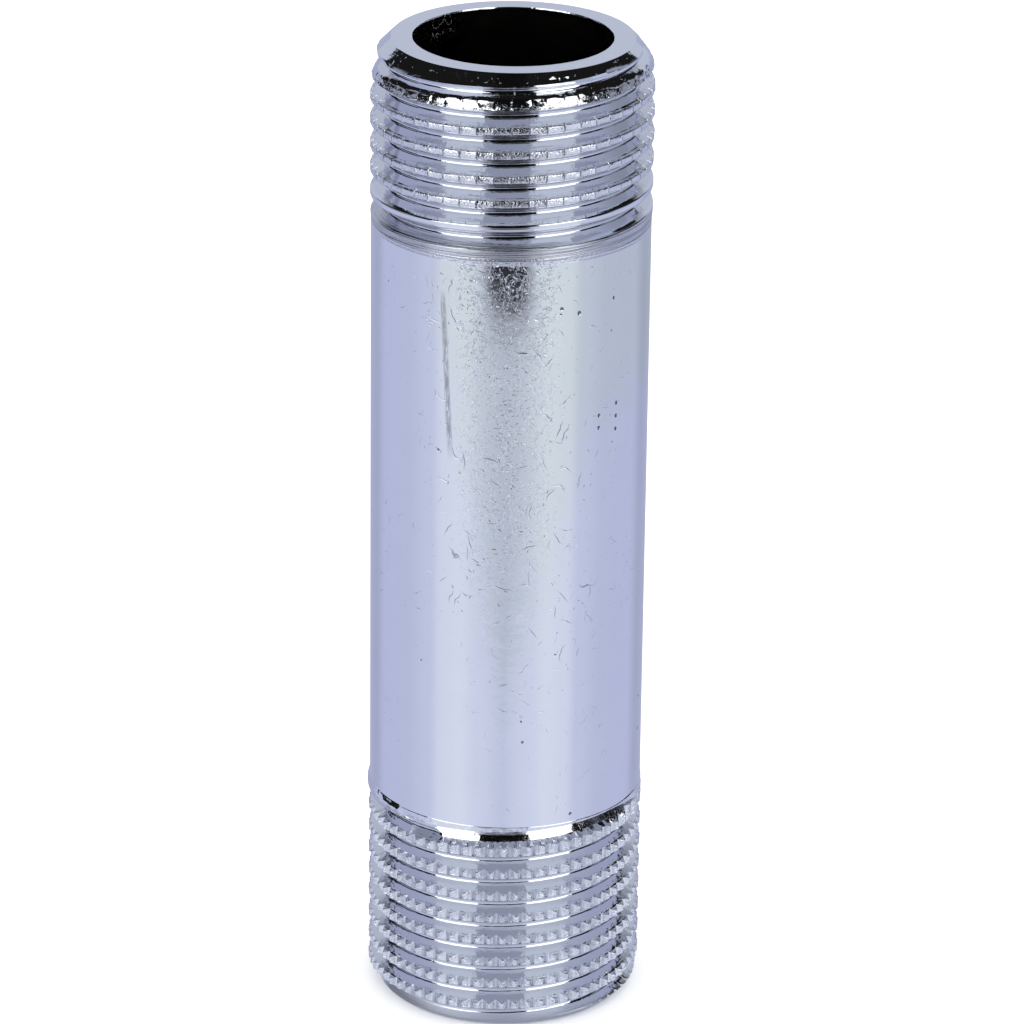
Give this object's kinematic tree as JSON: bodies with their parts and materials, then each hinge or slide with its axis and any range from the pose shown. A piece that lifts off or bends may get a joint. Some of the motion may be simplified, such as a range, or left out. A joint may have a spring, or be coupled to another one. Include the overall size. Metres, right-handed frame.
{
  "type": "threaded pipe nipple",
  "caption": "Straight chrome-plated pipe nipple: a smooth round barrel with an external parallel pipe thread at each end and an open bore.",
  "frame": {"origin": "centre of the lower end face, on the part's axis", "axes": "+Z along the axis towards the end with the shorter thread, -Y the front"},
  "size_m": [0.0208, 0.0208, 0.075],
  "materials": {
    "chrome_plate": "bright chromium plate over brass, polished barrel, as-cut threads"
  },
  "bodies": {
    "root": {"nipple_body": "chrome_plate"}
  },
  "joints": []
}
